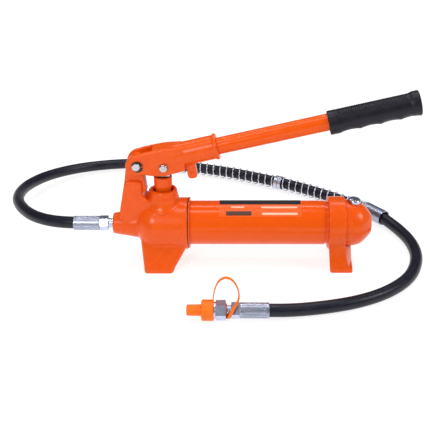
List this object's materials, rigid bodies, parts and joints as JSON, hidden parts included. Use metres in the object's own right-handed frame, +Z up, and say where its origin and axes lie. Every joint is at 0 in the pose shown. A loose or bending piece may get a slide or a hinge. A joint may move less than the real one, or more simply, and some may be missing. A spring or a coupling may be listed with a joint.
{
  "type": "hydraulic hand pump",
  "caption": "Hand pump with a lever over a short plunger, an oil reservoir on two feet, and a hose that ends in a capped quick coupler.",
  "frame": {"origin": "on the floor under the plunger's axis, on the bottom face of the front foot", "axes": "+X along the reservoir from the pump head to the domed end cap, +Z up, +Y the side with the release valve"},
  "size_m": [0.6016, 0.4811, 0.2429],
  "materials": {
    "orange_paint": "gloss paint over cast iron",
    "orange_tube_paint": "gloss",
    "seal_rubber": "matt",
    "seal_plastic": "satin",
    "zinc_steel": "bright zinc",
    "pin_steel": "ground",
    "black_steel": "black oxide",
    "ball_steel": "polished",
    "spring_steel": "bright zinc",
    "brass": "satin",
    "ferrule_steel": "satin zinc",
    "black_plastic": "satin",
    "hose_rubber": "semi gloss",
    "grip_rubber": "satin",
    "cap_plastic": "satin",
    "label_vinyl": "satin"
  },
  "bodies": {
    "pump": {"pump_head": "orange_paint", "reservoir_tube": "orange_tube_paint", "reservoir_gasket": "seal_rubber", "reservoir_seal": "seal_rubber", "reservoir_flange": "orange_tube_paint", "end_cap": "orange_paint", "end_cap_oring": "seal_rubber", "tie_bolt": "zinc_steel", "tie_bolt_washer": "zinc_steel", "rear_foot": "orange_paint", "reservoir_label": "label_vinyl", "plunger_seal": "seal_plastic", "seal_backup": "seal_plastic", "gland_nut": "zinc_steel", "plunger_wiper": "seal_rubber", "pivot_pin": "pin_steel", "pivot_clip": "black_steel", "discharge_spring": "spring_steel", "suction_spring": "spring_steel", "suction_seat": "brass", "suction_tube": "brass", "suction_strainer": "brass", "outlet_nipple": "zinc_steel", "hose_nut": "zinc_steel", "hose_ferrule": "ferrule_steel", "hose": "hose_rubber", "guard_spring_left": "spring_steel", "guard_spring_right": "spring_steel", "guard_sleeve": "ferrule_steel", "coupler_ferrule": "ferrule_steel", "coupler_stem": "zinc_steel", "coupler_spring": "spring_steel", "cap_leash": "cap_plastic"},
    "rocker": {"rocker": "orange_paint", "plunger_pin": "pin_steel", "plunger_clip": "black_steel"},
    "handle": {"handle_tube": "orange_tube_paint", "handle_grip": "grip_rubber"},
    "plunger": {"plunger": "pin_steel", "plunger_collar": "orange_paint", "collar_clip": "black_steel"},
    "discharge_ball": {"discharge_ball": "ball_steel"},
    "suction_ball": {"suction_ball": "ball_steel"},
    "release_seal": {"release_oring": "seal_rubber"},
    "release_valve": {"release_stem": "pin_steel", "release_knob": "black_plastic"},
    "filler_seal": {"filler_oring": "seal_rubber"},
    "filler": {"filler_screw": "zinc_steel"},
    "coupler_nut": {"coupler_nut": "zinc_steel"},
    "coupler_poppet": {"coupler_poppet": "zinc_steel"},
    "dust_cap": {"dust_cap": "cap_plastic"}
  },
  "joints": [
    {"name": "handle_lift", "type": "hinge", "parent": "pump", "child": "rocker", "pos_m": [-0.033, 0, 0.1467], "axis": [0, -1, 0], "range_deg": [-14, 24]},
    {"name": "plunger_slide", "type": "slide", "parent": "pump", "child": "plunger", "axis": [0, 0, 1], "range_m": [-0.0087, 0.0148]},
    {"name": "handle_pull", "type": "slide", "parent": "rocker", "child": "handle", "axis": [0.9744, 0, 0.225], "range_m": [0, 0.034]},
    {"name": "release_travel", "type": "slide", "parent": "pump", "child": "release_seal", "axis": [0, 1, 0], "range_m": [0, 0.00145]},
    {"name": "release_turn", "type": "hinge", "parent": "release_seal", "child": "release_valve", "pos_m": [-0.016, 0.04, 0.08], "axis": [0, 1, 0], "range_deg": [0, 350]},
    {"name": "filler_travel", "type": "slide", "parent": "pump", "child": "filler_seal", "axis": [0.1219, 0, 0.9925], "range_m": [0, 0.00145]},
    {"name": "filler_turn", "type": "hinge", "parent": "filler_seal", "child": "filler", "pos_m": [0.25566, 0, 0.08728], "axis": [0.1219, 0, 0.9925], "range_deg": [0, 350]},
    {"name": "discharge_check", "type": "slide", "parent": "pump", "child": "discharge_ball", "axis": [-1, 0, 0], "range_m": [0, 0.0009], "stiffness_N_per_m": 200, "springref_m": -0.001},
    {"name": "suction_check", "type": "slide", "parent": "pump", "child": "suction_ball", "axis": [-1, 0, 0], "range_m": [0, 0.0009], "stiffness_N_per_m": 200, "springref_m": -0.001},
    {"name": "coupler_swivel", "type": "hinge", "parent": "pump", "child": "coupler_nut", "pos_m": [0.08, -0.148, 0.0132], "axis": [1, 0, 0], "continuous": true},
    {"name": "poppet_push", "type": "slide", "parent": "pump", "child": "coupler_poppet", "axis": [1, 0, 0], "range_m": [0, 0.003], "stiffness_N_per_m": 800, "springref_m": -0.001},
    {"name": "cap_pull", "type": "slide", "parent": "pump", "child": "dust_cap", "axis": [-1, 0, 0], "range_m": [0, 0.025]}
  ],
  "couplings": [
    {"joint": "plunger_slide", "follows": "handle_lift", "m_per_rad": 0.035},
    {"joint": "release_turn", "follows": "release_travel", "rad_per_m": 4188.8},
    {"joint": "filler_turn", "follows": "filler_travel", "rad_per_m": 4188.8}
  ]
}
